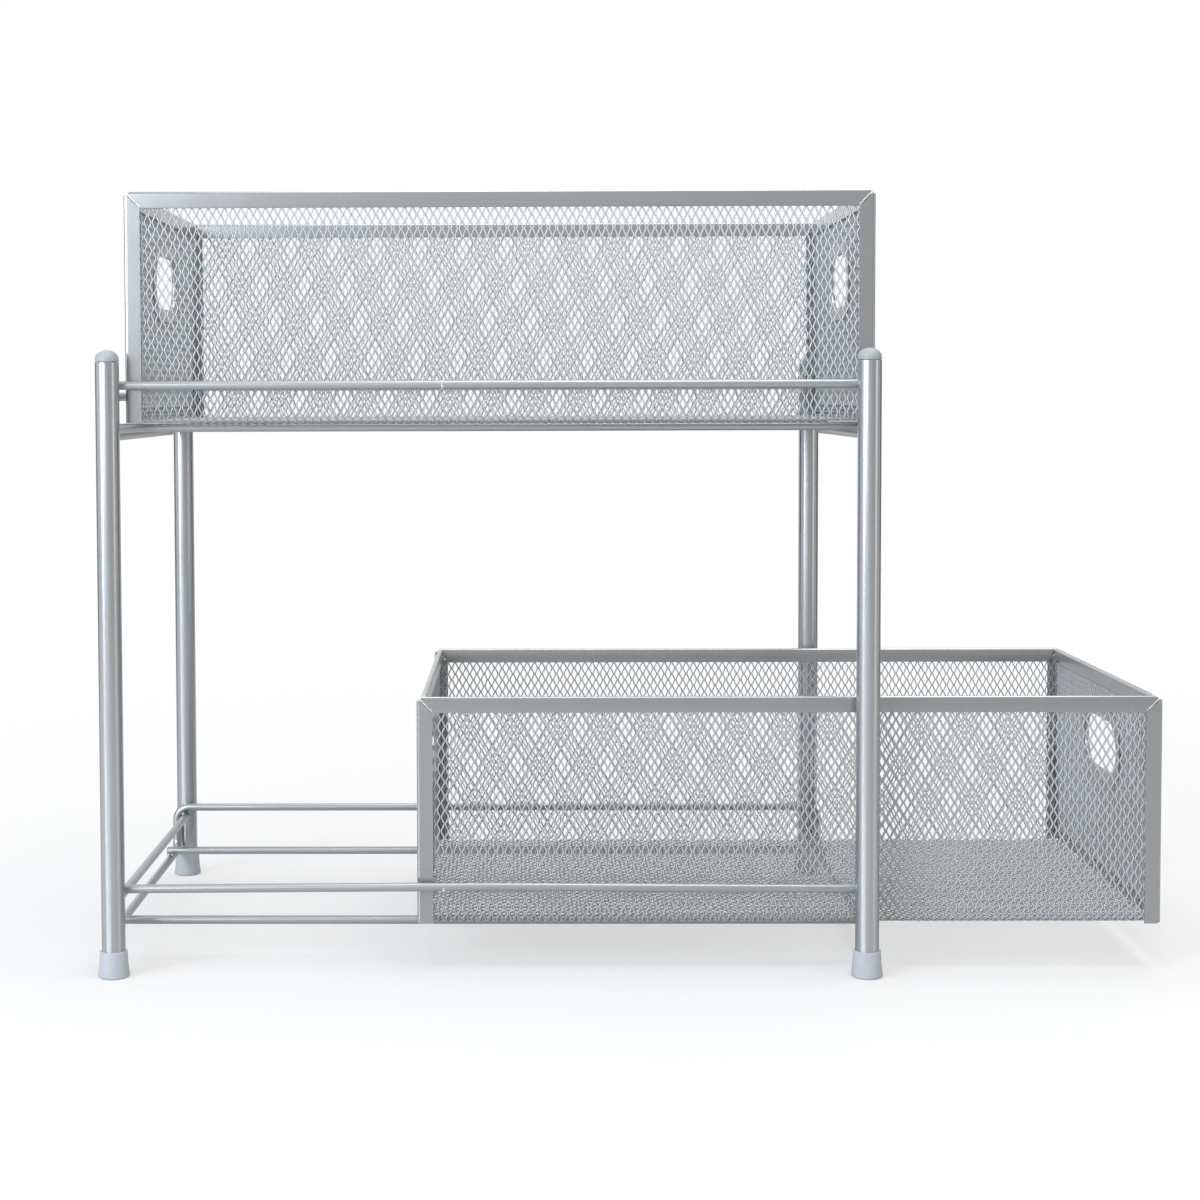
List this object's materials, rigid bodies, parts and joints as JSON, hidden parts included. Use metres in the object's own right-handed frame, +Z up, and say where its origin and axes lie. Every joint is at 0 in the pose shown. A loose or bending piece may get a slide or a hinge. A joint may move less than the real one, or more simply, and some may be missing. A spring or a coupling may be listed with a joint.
{
  "type": "sliding shelf organizer",
  "caption": "Free-standing tiered organizer of tube legs and bent wire with open-topped expanded-metal baskets that slide out endways on wire rails.",
  "frame": {"origin": "on the floor, under the middle of the part with its baskets as they stand at rest", "axes": "+X the way the baskets pull out, +Y from the front guards to the rear ones, +Z up"},
  "size_m": [0.5418, 0.258, 0.3979],
  "materials": {
    "frame_steel": "satin silver-grey lacquer on steel tube and wire",
    "basket_sheet": "satin silver-grey lacquer on folded sheet steel",
    "basket_mesh": "satin silver-grey lacquer on expanded steel mesh",
    "cap_plastic": "moulded, smooth, grey with a green tinge",
    "foot_plastic": "moulded, smooth, bluish grey"
  },
  "bodies": {
    "frame": {"leg_front_left": "frame_steel", "foot_front_left": "foot_plastic", "cap_front_left": "cap_plastic", "leg_front_right": "frame_steel", "foot_front_right": "foot_plastic", "cap_front_right": "cap_plastic", "leg_rear_left": "frame_steel", "foot_rear_left": "foot_plastic", "cap_rear_left": "cap_plastic", "leg_rear_right": "frame_steel", "foot_rear_right": "foot_plastic", "cap_rear_right": "cap_plastic", "lower_guard_loop": "frame_steel", "lower_rail_front": "frame_steel", "lower_rail_rear": "frame_steel", "lower_back_stop": "frame_steel", "upper_guard_loop": "frame_steel", "upper_rail_front": "frame_steel", "upper_rail_rear": "frame_steel", "upper_back_stop": "frame_steel"},
    "lower_basket": {"lower_mesh_front": "basket_mesh", "lower_mesh_rear": "basket_mesh", "lower_mesh_left": "basket_mesh", "lower_mesh_right": "basket_mesh", "lower_mesh_floor": "basket_mesh", "lower_rim_front": "basket_sheet", "lower_rim_rear": "basket_sheet", "lower_rim_left": "basket_sheet", "lower_rim_right": "basket_sheet", "lower_post_front_left": "basket_sheet", "lower_post_front_right": "basket_sheet", "lower_post_rear_left": "basket_sheet", "lower_post_rear_right": "basket_sheet", "lower_finger_ring_left": "basket_sheet", "lower_finger_ring_right": "basket_sheet"},
    "upper_basket": {"upper_mesh_front": "basket_mesh", "upper_mesh_rear": "basket_mesh", "upper_mesh_left": "basket_mesh", "upper_mesh_right": "basket_mesh", "upper_mesh_floor": "basket_mesh", "upper_rim_front": "basket_sheet", "upper_rim_rear": "basket_sheet", "upper_rim_left": "basket_sheet", "upper_rim_right": "basket_sheet", "upper_post_front_left": "basket_sheet", "upper_post_front_right": "basket_sheet", "upper_post_rear_left": "basket_sheet", "upper_post_rear_right": "basket_sheet", "upper_finger_ring_left": "basket_sheet", "upper_finger_ring_right": "basket_sheet"}
  },
  "joints": [
    {"name": "lower_basket_slide", "type": "slide", "parent": "frame", "child": "lower_basket", "axis": [1, 0, 0], "range_m": [-0.1505, 0.0395]},
    {"name": "upper_basket_slide", "type": "slide", "parent": "frame", "child": "upper_basket", "axis": [1, 0, 0], "range_m": [-0.0035, 0.1865]}
  ]
}
